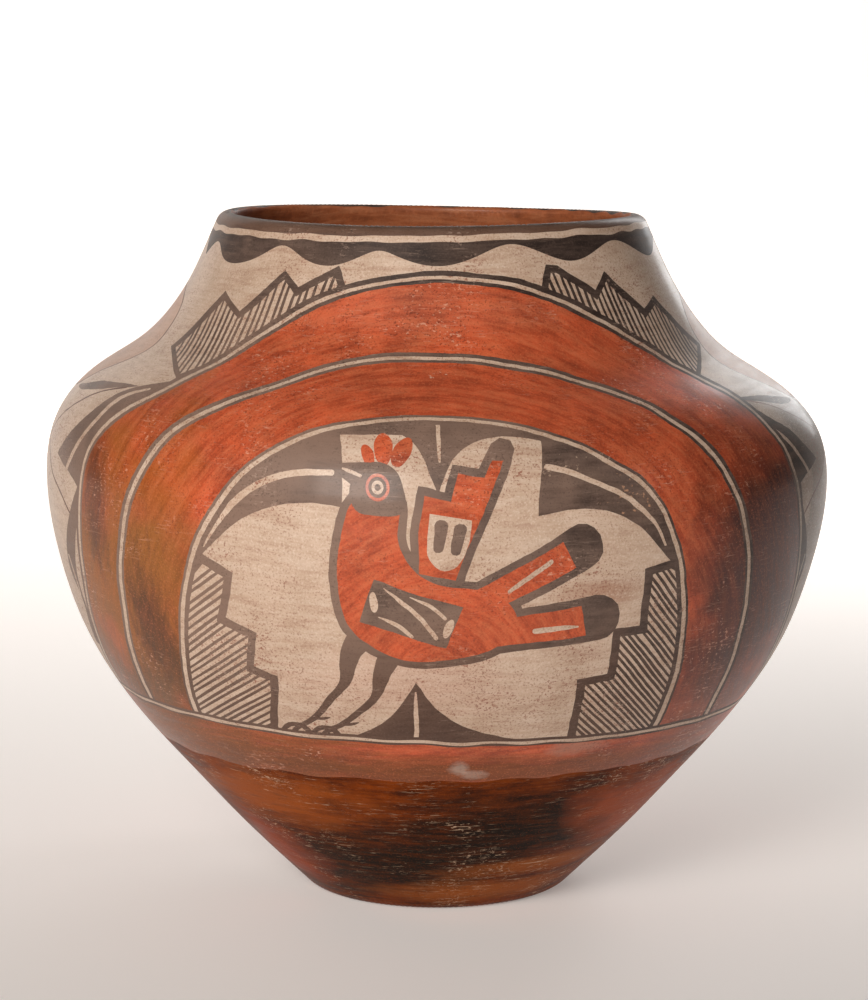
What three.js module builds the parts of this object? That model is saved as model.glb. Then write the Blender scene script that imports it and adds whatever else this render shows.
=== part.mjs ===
// A large storage jar of painted earthenware, coiled by hand, scraped thin and fired in the open.
// It has no lid, handle or stand: the whole jar is one hollow piece of clay, open at the mouth.
// Millimetres, +Z up. The origin is the middle of the foot, on the surface that the jar stands on,
// and the painted face looks along -Y.

import * as THREE from "three";

// Driving dimensions of the outside.
const FOOT_RADIUS = 77.5; // where the flat foot would meet the wall, were the heel not rounded
const BELLY_RADIUS = 230; // the widest turn
const NECK_RADIUS = 150; // where the shoulder has swept in to the neck
const RIM_RADIUS = 126; // outside, where the lip begins to round over
const BELLY_HEIGHT = 245; // from the foot to the widest turn
const SHOULDER_RISE = 105; // from the widest turn to the neck
const NECK_RISE = 46; // from the neck to the lip

// Driving dimensions of the clay.
const WALL = 8.5; // thickness of the clay, square to its face
const LIP_CROWN = 4.3; // how far the rounded top of the lip stands above its edges
const FLOOR_THICKNESS = 10; // in the middle of the foot
const FLOOR_SWEEP = 45; // the height over which the inside turns from floor to wall
const HEEL_ROUNDING = 4.5; // radius of the worn edge round the foot
const FOOT_RING_WIDTH = 24; // the flat ring that the jar stands on
const DISH_DEPTH = 5; // the hollow that is pressed into the underside, inside that ring

// How the hand-built form strays from a true round.
const NECK_LEAN = -2.9; // the mouth sits this far to one side, along X
const SHOULDER_TILT = 4.6; // the -X shoulder stands this much higher than the middle
const SHOULDER_TILT_HEIGHT = 315; // where that tilt is strongest
const SHOULDER_TILT_SPREAD = 45; // and how far up and down it fades
const RIM_TILT = 1.9; // the lip's own tilt, again higher on the -X side
const RIM_WAVE = 1.2; // the lip rises and dips this much, twice round the mouth
const RIM_WAVE_TURN = 0.65; // where round the mouth it does so, in radians
const RIM_WAVE_RISE = 40; // the stretch of neck below the lip in which they die away
const OVAL = 0.6; // the belly is this much wider along X, and as much narrower along Y

// The bow of the wall between two of the sizes above, as [share of the way up, share of the way out].
const LOWER_WALL_BOW = [[0.163, 0.26], [0.306, 0.468], [0.49, 0.711], [0.673, 0.88], [0.837, 0.964]];
const SHOULDER_BOW = [[0.333, 0.075], [0.562, 0.326], [0.771, 0.74]];

// How finely the form is cut into facets.
const TURN_STEPS = 60;
const WALL_STEPS = 30;
const LIP_STEPS = 6;
const HEEL_STEPS = 3;
const FLOOR_STEPS = 5;
const DISH_STEPS = 3;

const neckHeight = BELLY_HEIGHT + SHOULDER_RISE;
const rimHeight = neckHeight + NECK_RISE;

const mix = (a, b, share) => a + (b - a) * share;

// The outside of the wall from foot to lip, as a smooth curve of radius (x) and height (y).
const outside = new THREE.CatmullRomCurve3([
  new THREE.Vector3(FOOT_RADIUS, 0, 0),
  ...LOWER_WALL_BOW.map(([up, out]) =>
    new THREE.Vector3(mix(FOOT_RADIUS, BELLY_RADIUS, out), up * BELLY_HEIGHT, 0)),
  new THREE.Vector3(BELLY_RADIUS, BELLY_HEIGHT, 0),
  ...SHOULDER_BOW.map(([up, inward]) =>
    new THREE.Vector3(mix(BELLY_RADIUS, NECK_RADIUS, inward), BELLY_HEIGHT + up * SHOULDER_RISE, 0)),
  new THREE.Vector3(NECK_RADIUS, neckHeight, 0),
  new THREE.Vector3(RIM_RADIUS, rimHeight, 0),
], false, "centripetal");

// The place, the direction upwards and the direction out of the clay at a share of that curve.
function wallAt(share) {
  const place = outside.getPointAt(share);
  const along = outside.getTangentAt(share);
  return {
    place: new THREE.Vector2(place.x, place.y),
    along: new THREE.Vector2(along.x, along.y),
    out: new THREE.Vector2(along.y, -along.x),
  };
}

// The inside face: one wall thickness in from the outside, sweeping smoothly into the level floor.
function insideAt(share) {
  const { place, out } = wallAt(share);
  return sweptFloor(place.addScaledVector(out, -WALL));
}

// Lifts a point of the inside face on to the floor, with a rounded sweep where the two meet.
function sweptFloor(point) {
  const floor = DISH_DEPTH + FLOOR_THICKNESS;
  const sweep = Math.max(0, FLOOR_SWEEP - Math.abs(point.y - floor));
  return new THREE.Vector2(point.x, Math.max(point.y, floor) + sweep * sweep / (4 * FLOOR_SWEEP));
}

// From the middle of the underside, round the foot, up the outside, over the lip and down the inside.
function profile() {
  const points = [];

  // The pressed dish, a shallow bowl upside down, and the flat ring round it.
  const heel = roundedHeel();
  const ringInside = heel[0].x - FOOT_RING_WIDTH;
  for (let i = 0; i < DISH_STEPS; i++) {
    const share = i / DISH_STEPS;
    points.push(new THREE.Vector2(share * ringInside, DISH_DEPTH * (1 - share * share)));
  }
  points.push(new THREE.Vector2(ringInside, 0));

  points.push(...heel);

  // The outside starts where the heel's rounding ends.
  const start = heelShare();
  for (let i = 1; i <= WALL_STEPS; i++) {
    points.push(wallAt(mix(start, 1, i / WALL_STEPS)).place);
  }

  // The lip is cut level across the leaning wall, and rounded: half an ellipse that leans with it.
  const rim = wallAt(1);
  const lipWidth = WALL / rim.out.x;
  const lean = rim.along.x / rim.along.y;
  for (let i = 1; i <= LIP_STEPS; i++) {
    const turn = Math.PI * i / LIP_STEPS;
    const rise = LIP_CROWN * Math.sin(turn);
    const inward = lipWidth / 2 * (1 - Math.cos(turn));
    points.push(new THREE.Vector2(rim.place.x - inward + lean * rise, rim.place.y + rise));
  }

  for (let i = WALL_STEPS - 1; i >= 0; i--) {
    points.push(insideAt(i / WALL_STEPS));
  }

  // Inside the foot the wall's line is carried on downwards, and the floor levels it.
  const last = wallAt(0);
  const lowest = last.place.clone().addScaledVector(last.out, -WALL);
  for (let i = 1; i <= FLOOR_STEPS; i++) {
    const radius = lowest.x * (1 - i / FLOOR_STEPS);
    const fall = (lowest.x - radius) * last.along.y / last.along.x;
    points.push(sweptFloor(new THREE.Vector2(radius, lowest.y - fall)));
  }
  return points;
}

// How far along the outside curve the heel's rounding reaches, as a share of the curve.
function heelShare() {
  return HEEL_ROUNDING / outside.getLength();
}

// The worn edge of the foot: a curve from the flat ring to the wall, pulled towards their corner.
function roundedHeel() {
  const corner = new THREE.Vector2(FOOT_RADIUS, 0);
  const curve = new THREE.QuadraticBezierCurve(
    new THREE.Vector2(FOOT_RADIUS - HEEL_ROUNDING, 0), corner, wallAt(heelShare()).place);
  return curve.getPoints(HEEL_STEPS);
}

const smooth = (from, to, value) => THREE.MathUtils.smoothstep(value, from, to);

// Moves a point of the true round to where the potter's hands left it.
function byHand(point) {
  const turn = Math.atan2(point.y, point.x);
  const radius = Math.hypot(point.x, point.y);
  const upNeck = smooth(BELLY_HEIGHT, rimHeight, point.z);
  const nearRim = smooth(rimHeight - RIM_WAVE_RISE, rimHeight, point.z);
  const atBelly = smooth(0, BELLY_HEIGHT, point.z) * (1 - upNeck);

  const across = (point.z - SHOULDER_TILT_HEIGHT) / SHOULDER_TILT_SPREAD;
  const tilt = SHOULDER_TILT * Math.exp(-across * across) + RIM_TILT * upNeck;
  const wave = RIM_WAVE * Math.cos(2 * turn + RIM_WAVE_TURN);

  const round = radius / BELLY_RADIUS;
  const oval = 1 + OVAL / BELLY_RADIUS * Math.cos(2 * turn) * atBelly;
  return new THREE.Vector3(
    point.x * oval + NECK_LEAN * upNeck,
    point.y * oval,
    point.z - tilt * round * Math.cos(turn) + wave * nearRim,
  );
}

// Turns the profile into the jar, upright on its foot, and gives it its hand-built form.
function jarGeometry() {
  const geometry = new THREE.LatheGeometry(profile(), TURN_STEPS);
  geometry.rotateX(Math.PI / 2);
  const position = geometry.getAttribute("position");
  const point = new THREE.Vector3();
  for (let i = 0; i < position.count; i++) {
    const moved = byHand(point.fromBufferAttribute(position, i));
    position.setXYZ(i, moved.x, moved.y, moved.z);
  }
  geometry.computeVertexNormals();
  return geometry;
}

const earthenware = new THREE.MeshStandardMaterial({
  name: "painted_earthenware",
  color: 0xb5552f,
  roughness: 0.48,
  metalness: 0,
});

const jar = new THREE.Mesh(jarGeometry(), earthenware);
jar.name = "jar";

const part = new THREE.Group();
part.name = "storage_jar";
part.add(jar);

export default part;
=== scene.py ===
# %% [markdown]
# # A painted storage jar
#
# This lesson dresses one large jar of hand-built earthenware. The potter coiled it, scraped the wall
# thin, covered it with slips of white and red clay, rubbed it with a smooth stone and painted it in
# black and red before an open firing. The shape comes from the imported model, so the first thing to do
# is to open that.

import bmesh
import bpy
import numpy as np
from mathutils.geometry import delaunay_2d_cdt
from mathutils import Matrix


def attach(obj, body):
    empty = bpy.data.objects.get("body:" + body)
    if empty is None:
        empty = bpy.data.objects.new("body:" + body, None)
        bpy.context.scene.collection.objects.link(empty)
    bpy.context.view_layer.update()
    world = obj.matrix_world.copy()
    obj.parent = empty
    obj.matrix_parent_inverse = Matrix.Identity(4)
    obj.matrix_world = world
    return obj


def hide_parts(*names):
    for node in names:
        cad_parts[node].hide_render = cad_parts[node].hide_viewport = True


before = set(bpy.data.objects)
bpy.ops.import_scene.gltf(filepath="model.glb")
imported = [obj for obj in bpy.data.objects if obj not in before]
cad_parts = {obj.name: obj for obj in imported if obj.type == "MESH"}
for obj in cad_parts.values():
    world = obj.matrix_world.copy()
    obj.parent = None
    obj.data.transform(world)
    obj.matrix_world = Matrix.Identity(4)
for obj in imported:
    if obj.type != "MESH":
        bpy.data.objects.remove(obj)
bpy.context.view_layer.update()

# %% [markdown]
# ## The camera and the room
#
# The jar was photographed from just above its shoulder with a long lens, about 1.7 metres away. A
# long lens keeps the mouth a thin ellipse and shows a little of the far lip. The camera is set by
# where it stands, how far it looks down and how long its lens is.

# %% Camera
MM = 0.001
CAMERA_ASIDE = -1.7
CAMERA_BACK = 1722.0
CAMERA_UP = 486.0
CAMERA_PITCH = 8.47
LENS = 104.84


def add_camera():
    """A camera that looks along +Y and down by CAMERA_PITCH degrees."""
    data = bpy.data.cameras.new("camera")
    data.lens = LENS
    data.sensor_width = 36.0
    data.clip_end = 50.0
    camera = bpy.data.objects.new("camera", data)
    camera.location = (CAMERA_ASIDE * MM, -CAMERA_BACK * MM, CAMERA_UP * MM)
    camera.rotation_euler = (np.radians(90.0 - CAMERA_PITCH), 0.0, 0.0)
    bpy.context.collection.objects.link(camera)
    bpy.context.scene.camera = camera


add_camera()
bpy.context.scene.view_settings.view_transform = "Standard"
print("camera at", CAMERA_BACK, "mm, lens", LENS, "mm")

# %% [markdown]
# ## Materials out of small nodes
#
# Every finish below is a network of Blender's shader nodes. A few helpers keep them short: one turns a
# colour as a painter would note it, in hex, into the linear values that Blender mixes, one adds a node
# with its settings and links in a single line, and two do the sums that come back most often.

# %% Colour and node helpers
def linear(code):
    """Linear red, green, blue and alpha of an sRGB hex colour: the sRGB curve undone."""
    srgb = np.array([int(code[i:i + 2], 16) for i in (1, 3, 5)]) / 255.0
    rgb = np.where(srgb <= 0.04045, srgb / 12.92, ((srgb + 0.055) / 1.055) ** 2.4)
    return (*rgb.tolist(), 1.0)


def add(tree, kind, inputs=None, **settings):
    """Add one shader node; an input that is a socket is linked, and any other value is set."""
    node = tree.nodes.new("ShaderNode" + kind)
    for name, value in settings.items():
        setattr(node, name, value)
    for key, value in (inputs or {}).items():
        socket = node.inputs[key]
        if isinstance(value, bpy.types.NodeSocket):
            tree.links.new(value, socket)
        else:
            socket.default_value = value
    return node


def blank_material(name):
    """A new material and its node tree, emptied."""
    material = bpy.data.materials.new(name)
    material.use_nodes = True
    material.node_tree.nodes.clear()
    return material, material.node_tree


def spread(tree, value, low, high, to_low=0.0, to_high=1.0):
    """A value moved from one range to another, and held inside it."""
    ranges = {"From Min": low, "From Max": high, "To Min": to_low, "To Max": to_high}
    return add(tree, "MapRange", {"Value": value, **ranges}).outputs["Result"]


def times(tree, a, b):
    """Two values multiplied."""
    return add(tree, "Math", {0: a, 1: b}, operation="MULTIPLY").outputs[0]


print("sRGB #808080 in linear:", round(linear("#808080")[0], 3))

# %% [markdown]
# ## The sweep of pale paper
#
# The jar stands on a roll of paper that runs back and up without an edge. It is one grid: flat under
# the jar, then a quarter turn, then upright. A glow that grows towards the back stands for the lamps
# that lit the paper there, and leaves it white behind the jar and a warm grey in front. It dies away
# far out on the right, where the jar's polished side mirrors a darker room.

# %% Backdrop
SWEEP_HALF_WIDTH = 4.0
SWEEP_FRONT = -2.6
SWEEP_BACK = 3.0
SWEEP_TURN = 1.2
SWEEP_TOP = 3.5
GLOW_FROM = -0.62
GLOW_TO = 1.65
GLOW = 1.0
DARK_FROM = 0.75
DARK_TO = 1.2
DARK_SHARE = 0.35


def add_backdrop():
    """Floor, quarter circle and wall as one profile in Y and Z, carried along X."""
    bend = np.linspace(0.0, np.pi / 2, 24)
    y = np.concatenate([[SWEEP_FRONT], SWEEP_BACK + SWEEP_TURN * np.sin(bend), [SWEEP_BACK + SWEEP_TURN]])
    z = np.concatenate([[0.0], SWEEP_TURN * (1.0 - np.cos(bend)), [SWEEP_TOP]])
    x = np.array([-SWEEP_HALF_WIDTH, SWEEP_HALF_WIDTH])
    count = len(y)
    vertices = np.stack([np.repeat(x, count), np.tile(y, 2), np.tile(z, 2)], axis=1)
    low = np.arange(count - 1)
    faces = np.stack([low, low + count, low + count + 1, low + 1], axis=1)
    mesh = bpy.data.meshes.new("backdrop")
    mesh.from_pydata(vertices.tolist(), [], faces.tolist())
    mesh.shade_smooth()
    backdrop = bpy.data.objects.new("backdrop", mesh)
    bpy.context.collection.objects.link(backdrop)
    material, tree = blank_material("pale_paper")
    place = add(tree, "TexCoord").outputs["Object"]
    axes = add(tree, "SeparateXYZ", {"Vector": place}).outputs
    glow = spread(tree, axes["Y"], GLOW_FROM, GLOW_TO, 0.0, GLOW)
    lit = spread(tree, axes["X"], DARK_FROM, DARK_TO, 1.0, DARK_SHARE)
    shader = add(tree, "BsdfPrincipled",
                 {"Base Color": linear("#DEDAD8"), "Roughness": 0.9, "Emission Color": linear("#FFF7F0"),
                  "Emission Strength": times(tree, glow, lit)})
    add(tree, "OutputMaterial", {"Surface": shader.outputs["BSDF"]})
    mesh.materials.append(material)


add_backdrop()
print("backdrop", SWEEP_BACK, "m behind the jar")

# %% [markdown]
# ## Light
#
# A broad soft light stands high at the front left, and weak ones at the right and behind. The
# room is dim, so the right side of the jar falls into shade and only mirrors the bright paper, which
# draws a pale rim down its edge. Each light is a flat panel that is turned to look at the jar, and the
# high one at the back doesn't show in the polish.

# %% Lights
def add_panel(name, place, aim, size, power, colour="#FFFFFF"):
    """A rectangular light at a place, turned so that its -Z points at its aim."""
    data = bpy.data.lights.new(name, "AREA")
    data.shape = "RECTANGLE"
    data.size, data.size_y = size
    data.energy = power
    data.color = linear(colour)[:3]
    panel = bpy.data.objects.new(name, data)
    panel.location = place
    away = np.array(place) - np.array(aim)
    flat = float(np.hypot(away[0], away[1]))
    panel.rotation_euler = (float(np.arctan2(flat, away[2])), 0.0, float(np.arctan2(away[0], -away[1])))
    bpy.context.collection.objects.link(panel)
    return panel


JAR_MIDDLE = (0.0, 0.0, 0.2)
add_panel("key_light", (-0.75, -1.95, 1.05), JAR_MIDDLE, (0.9, 0.9), 43.0, "#FFFAF4")
add_panel("side_light", (1.75, -1.1, 1.0), JAR_MIDDLE, (0.4, 0.8), 1.0, "#F4F6FF")
add_panel("rim_light", (0.95, 2.1, 1.0), JAR_MIDDLE, (0.6, 1.4), 10.0)
high_light = add_panel("high_light", (1.35, 1.35, 1.6), JAR_MIDDLE, (0.5, 0.5), 5.0)
high_light.visible_glossy = False

world = bpy.data.worlds.new("room")
world.use_nodes = True
room = world.node_tree.nodes["Background"].inputs
room["Color"].default_value = linear("#F2F0F0")
room["Strength"].default_value = 0.06
bpy.context.scene.world = world
print("four panels and a dim room")

# %% [markdown]
# ## The wall as a formula
#
# The outside is a smooth curve of radius against height, turned round the axis. Instead of copying
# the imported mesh, this cell works the same wall out of the same few sizes, because the paint needs a
# surface that can be asked for any point: how far round, and how far up the wall.

# %% Sizes of the clay, in millimetres
FOOT_RADIUS = 77.5
BELLY_RADIUS = 230.0
NECK_RADIUS = 150.0
RIM_RADIUS = 126.0
BELLY_HEIGHT = 245.0
NECK_HEIGHT = BELLY_HEIGHT + 105.0
RIM_HEIGHT = NECK_HEIGHT + 46.0
WALL = 8.5
LIP_CROWN = 4.3
FLOOR_HEIGHT = 15.0
FLOOR_SWEEP = 45.0
HEEL_ROUNDING = 4.5
FOOT_RING_WIDTH = 24.0
DISH_DEPTH = 5.0
LOWER_WALL_BOW = [(0.163, 0.26), (0.306, 0.468), (0.49, 0.711), (0.673, 0.88), (0.837, 0.964)]
SHOULDER_BOW = [(0.333, 0.075), (0.562, 0.326), (0.771, 0.74)]


def smooth_curve(points, samples):
    """A natural cubic spline through points, against the distance from point to point along them."""
    points = np.asarray(points, float)
    gap = np.linalg.norm(np.diff(points, axis=0), axis=1)
    knots = np.concatenate([[0.0], np.cumsum(gap)])
    last = len(points) - 1
    inner = np.arange(1, last)
    system = np.eye(last + 1)
    system[inner, inner - 1] = gap[:-1]
    system[inner, inner] = 2.0 * (gap[:-1] + gap[1:])
    system[inner, inner + 1] = gap[1:]
    turning = np.zeros_like(points)
    turning[1:-1] = 6.0 * np.diff(np.diff(points, axis=0) / gap[:, None], axis=0)
    bend = np.linalg.solve(system, turning)
    where = np.linspace(0.0, knots[-1], samples)
    k = np.clip(np.searchsorted(knots, where, side="right") - 1, 0, last - 1)
    b = ((where - knots[k]) / gap[k])[:, None]
    a = 1.0 - b
    bow = ((a**3 - a) * bend[k] + (b**3 - b) * bend[k + 1]) * gap[k, None] ** 2 / 6.0
    return a * points[k] + b * points[k + 1] + bow


def distances(line):
    """How far along a line each of its points lies."""
    return np.concatenate([[0.0], np.cumsum(np.linalg.norm(np.diff(line, axis=0), axis=1))])


def wall_stations():
    """The places of radius and height that the outside passes through, from foot to lip."""
    out, inward, rise = BELLY_RADIUS - FOOT_RADIUS, NECK_RADIUS - BELLY_RADIUS, NECK_HEIGHT - BELLY_HEIGHT
    lower = [(FOOT_RADIUS + share * out, up * BELLY_HEIGHT) for up, share in LOWER_WALL_BOW]
    upper = [(BELLY_RADIUS + share * inward, BELLY_HEIGHT + up * rise) for up, share in SHOULDER_BOW]
    return [(FOOT_RADIUS, 0.0), *lower, (BELLY_RADIUS, BELLY_HEIGHT), *upper,
            (NECK_RADIUS, NECK_HEIGHT), (RIM_RADIUS, RIM_HEIGHT)]


WALL_SAMPLES = 4000
outside = smooth_curve(wall_stations(), WALL_SAMPLES)
up_outside = distances(outside)
WALL_LENGTH = up_outside[-1]
print("from foot to lip along the wall:", round(WALL_LENGTH, 1), "mm")

# %% [markdown]
# ## One line from underside to inside floor
#
# The whole skin of the jar is one turned line. It starts in the middle of the underside, crosses the
# pressed dish and the flat ring, rounds the heel, climbs the wall, goes over the lip and comes down
# inside to the middle of the floor. A point on it is told by its distance up the wall, which is below
# zero under the foot and past WALL_LENGTH beyond the lip.

# %% The full profile
PART_SAMPLES = 60
FLOOR_SAMPLES = 200


def full_profile():
    """Radius and height along the skin, and each point's distance up the wall."""
    heel_start = FOOT_RADIUS - HEEL_ROUNDING
    ring_start = heel_start - FOOT_RING_WIDTH
    share = np.linspace(0.0, 1.0, PART_SAMPLES)[:, None]
    dish = np.hstack([ring_start * share, DISH_DEPTH * (1.0 - share**2)])

    first = np.searchsorted(up_outside, HEEL_ROUNDING)
    start = np.array([heel_start, 0.0])
    corner = np.array([FOOT_RADIUS, 0.0])
    heel = (1 - share) ** 2 * start + 2 * share * (1 - share) * corner + share**2 * outside[first]

    along = np.gradient(outside, axis=0)
    along /= np.linalg.norm(along, axis=1)[:, None]
    out = np.stack([along[:, 1], -along[:, 0]], axis=1)

    turn = np.linspace(0.0, np.pi, PART_SAMPLES)
    lip_width = WALL / out[-1, 0]
    rise = LIP_CROWN * np.sin(turn)
    lean = along[-1, 0] / along[-1, 1]
    lip_radius = RIM_RADIUS - lip_width / 2 * (1.0 - np.cos(turn)) + lean * rise
    lip = np.stack([lip_radius, RIM_HEIGHT + rise], axis=1)

    inside_wall = (outside - WALL * out)[::-1]
    fall = np.linspace(0.0, 1.0, FLOOR_SAMPLES)[1:, None]
    lowest = inside_wall[-1]
    slope = along[0, 1] / along[0, 0]
    inner_floor = np.hstack([lowest[0] * (1 - fall), lowest[1] - slope * lowest[0] * fall])
    inside = np.vstack([inside_wall, inner_floor])
    sweep = np.maximum(0.0, FLOOR_SWEEP - np.abs(inside[:, 1] - FLOOR_HEIGHT))
    inside[:, 1] = np.maximum(inside[:, 1], FLOOR_HEIGHT) + sweep**2 / (4.0 * FLOOR_SWEEP)

    line = np.vstack([dish, heel, outside[first + 1:], lip[1:], inside])
    far = distances(line)
    return line, far - far[len(dish) + len(heel) - 1] + up_outside[first]


def radius_at(up):
    """The jar's radius at a distance up the wall, before the potter's unevenness."""
    return np.interp(up, up_skin, skin[:, 0])


skin, up_skin = full_profile()
print("skin from", round(up_skin[0], 1), "to", round(up_skin[-1], 1), "mm up the wall")

# %% [markdown]
# ## The potter's unevenness
#
# A coiled jar is never quite round. The mouth sits a little to one side, one shoulder is higher, the
# lip rises and dips, and scraping leaves broad soft hollows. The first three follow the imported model.
# The hollows are a sum of slow waves, each a whole number of times round so that they join up.

# %% From distance up the wall and angle round it to a point
NECK_LEAN = -2.9
SHOULDER_TILT = 4.6
SHOULDER_TILT_HEIGHT = 315.0
SHOULDER_TILT_SPREAD = 45.0
RIM_TILT = 1.9
RIM_WAVE = 1.2
RIM_WAVE_TURN = 0.65
RIM_WAVE_RISE = 40.0
OVAL = 0.6
HOLLOW_DEPTH = 0.16
HOLLOW_WAVES = 26
HOLLOW_ROUNDS = (2, 11)
HOLLOW_PITCH = (60.0, 240.0)
HOLLOW_SEED = 3
HOLLOW_FADE_UP = (12.0, 60.0)
HOLLOW_FADE_OUT = 30.0
HOLLOW_SHIFT_INSIDE = 700.0


def smooth_step(low, high, value):
    """0 below low, 1 above high and 3t^2 - 2t^3 between them."""
    t = np.clip((value - low) / (high - low), 0.0, 1.0)
    return t * t * (3.0 - 2.0 * t)


def waves(turn, up, seed, count, rounds, rise):
    """A sum of sines: each has a whole number of turns round, a pitch up the wall and a chance phase."""
    chance = np.random.default_rng(seed)
    total = np.zeros(np.broadcast(turn, up).shape)
    for _ in range(count):
        whole = chance.integers(rounds[0], rounds[1] + 1) * chance.choice([-1, 1])
        pitch = 2.0 * np.pi / chance.uniform(*rise)
        total += np.sin(whole * turn + pitch * up + chance.uniform(0.0, 2.0 * np.pi))
    return total / np.sqrt(count / 2.0)


def skin_point(turn, up):
    """The point of the skin at an angle from the front (-Y) towards +X and a distance up the wall."""
    radius = radius_at(up)
    height = np.interp(up, up_skin, skin[:, 1])
    clear_of_foot = smooth_step(*HOLLOW_FADE_UP, height)
    clear_of_foot = clear_of_foot * smooth_step(FOOT_RADIUS, FOOT_RADIUS + HOLLOW_FADE_OUT, radius)
    inner_shift = np.where(up > WALL_LENGTH + WALL, HOLLOW_SHIFT_INSIDE, 0.0)
    hollow = waves(turn, up + inner_shift, HOLLOW_SEED, HOLLOW_WAVES, HOLLOW_ROUNDS, HOLLOW_PITCH)
    radius = radius + HOLLOW_DEPTH * hollow * clear_of_foot

    x = radius * np.sin(turn)
    y = -radius * np.cos(turn)
    up_neck = smooth_step(BELLY_HEIGHT, RIM_HEIGHT, height)
    at_belly = smooth_step(0.0, BELLY_HEIGHT, height) * (1.0 - up_neck)
    near_rim = smooth_step(RIM_HEIGHT - RIM_WAVE_RISE, RIM_HEIGHT, height)
    from_x = turn - np.pi / 2
    across = (height - SHOULDER_TILT_HEIGHT) / SHOULDER_TILT_SPREAD
    tilt = SHOULDER_TILT * np.exp(-across**2) + RIM_TILT * up_neck
    wave = RIM_WAVE * np.cos(2.0 * from_x + RIM_WAVE_TURN)
    oval = 1.0 + OVAL / BELLY_RADIUS * np.cos(2.0 * from_x) * at_belly
    z = height - tilt * radius / BELLY_RADIUS * np.sin(turn) + wave * near_rim
    return np.stack([x * oval + NECK_LEAN * up_neck, y * oval, z], axis=-1)


print("lip at the front:", np.round(skin_point(0.0, WALL_LENGTH), 1), "mm")

# %% [markdown]
# ## Drawing with a tape measure
#
# All the painting is drawn flat, in millimetres, as if a tape were laid on the clay: the first number
# is how far round from the middle of a panel, the second how far up the wall from the foot. A few
# points are enough for a curve. Before an outline goes on the jar it is shaken a little,
# because a yucca brush in a steady hand still wanders by half a millimetre.

# %% Lines and outlines
STEP = 2.6
CURVE_SAMPLES = 40
SHARPEST_CORNER = 0.35
TIP_TURNS = (30.0, 65.0, 115.0, 150.0)
TINY = 1e-12


def curve(points, closed=False):
    """A smooth line through points, with a point every STEP millimetres. A closed one runs three points
    past its ends before it is cut to one round, so that it has no kink where it closes."""
    points = np.asarray(points, float)
    if closed:
        points = np.vstack([points[-3:], points, points[:3]])
    dense = smooth_curve(points, CURVE_SAMPLES * len(points))
    if closed:
        far = distances(dense)
        gap = np.linalg.norm(dense - points[3], axis=1)
        second_half = far > far[-1] / 2
        first = far[np.argmin(np.where(second_half, np.inf, gap))]
        last = far[np.argmin(np.where(second_half, gap, np.inf))]
        dense = dense[(far >= first) & (far < last)]
    return spaced(dense)


def spaced(line):
    """The same line with its points evenly spaced, about STEP apart."""
    far = distances(line)
    stops = np.linspace(0.0, far[-1], max(2, int(np.ceil(far[-1] / STEP)) + 1))
    return np.stack([np.interp(stops, far, line[:, 0]), np.interp(stops, far, line[:, 1])], axis=1)


def straight(points):
    """Straight stretches from point to point, each with its own corners kept."""
    points = np.asarray(points, float)
    return np.vstack([spaced(points[i:i + 2])[:-1] for i in range(len(points) - 1)] + [points[-1:]])


def polygon(corners):
    """A closed outline with straight sides."""
    return straight(corners + corners[:1])[:-1]


def beside(line, distance):
    """The line moved to its left by a distance; at a corner the two moved sides meet."""
    side = np.diff(line, axis=0)
    side /= np.linalg.norm(side, axis=1)[:, None] + TINY
    left = np.stack([-side[:, 1], side[:, 0]], axis=1)
    before = np.vstack([left[:1], left])
    after = np.vstack([left, left[-1:]])
    middle = before + after
    middle /= np.maximum(SHARPEST_CORNER, (middle * after).sum(axis=1))[:, None]
    return line + middle * np.reshape(distance, (-1, 1))


def ribbon(line, left, right):
    """The closed outline between a line moved to its left and to its right."""
    return np.vstack([beside(line, left), beside(line, -np.asarray(right))[::-1]])


def rounded_tip(middle, side):
    """A few points of the half circle from one side of a brush line's end to the other."""
    turn = np.radians(TIP_TURNS)[:, None]
    return middle + np.cos(turn) * side + np.sin(turn) * np.array([side[1], -side[0]])


def stroke(line, width, start=1.0, end=1.0):
    """One pull of the brush: its width runs from a start share to an end share, with round tips."""
    share = np.linspace(0.0, 1.0, len(line))
    half = width / 2 * np.interp(share, [0.0, 0.3, 0.7, 1.0], [start, 1.0, 1.0, end])
    left, right = beside(line, half), beside(line, -half)
    far_tip = rounded_tip(line[-1], left[-1] - line[-1])
    near_tip = rounded_tip(line[0], right[0] - line[0])
    return np.vstack([left, far_tip, right[::-1], near_tip])


def shrunk(outline, distance):
    """A closed outline with every side moved inwards by a distance."""
    x, y = outline.T
    area = np.sum(x * np.roll(y, -1) - y * np.roll(x, -1)) / 2
    looped = np.vstack([outline[-1:], outline, outline[:1]])
    return beside(looped, np.sign(area) * distance)[1:-1]


def disc(middle, radius, squash=1.0, lean=0.0):
    """An ellipse: a circle squashed across and leant by an angle in degrees."""
    turn = np.linspace(0.0, 2.0 * np.pi, 28, endpoint=False)
    x, y = radius * squash * np.cos(turn), radius * np.sin(turn)
    c, s = np.cos(np.radians(lean)), np.sin(np.radians(lean))
    return np.stack([middle[0] + c * x - s * y, middle[1] + s * x + c * y], axis=1)


print("a brush point every", STEP, "mm")

# %% [markdown]
# ## Laying paint on the wall
#
# `paint` keeps a list of outlines in the order in which they are brushed on, so a later one covers
# an earlier one. Each goes on the jar by turning its distance round into an angle: the distance
# divided by the jar's own radius at that height.

# %% The list of brushed outlines
painted = []
WANDER = (0.4, (28.0, 70.0))
FINE_WANDER = (0.13, (6.0, 12.0))
HATCH_SHAKE = 0.45
HATCH_INSET = (0.6, 0.3)
HATCH_DRIFT = 0.12
HATCH_TILT = 0.3
HATCH_REACH = 1.5
HATCH_BREADTHS = (0.85, 1.12)
HATCH_TIP = 0.8
HAND_SEED = 400


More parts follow.
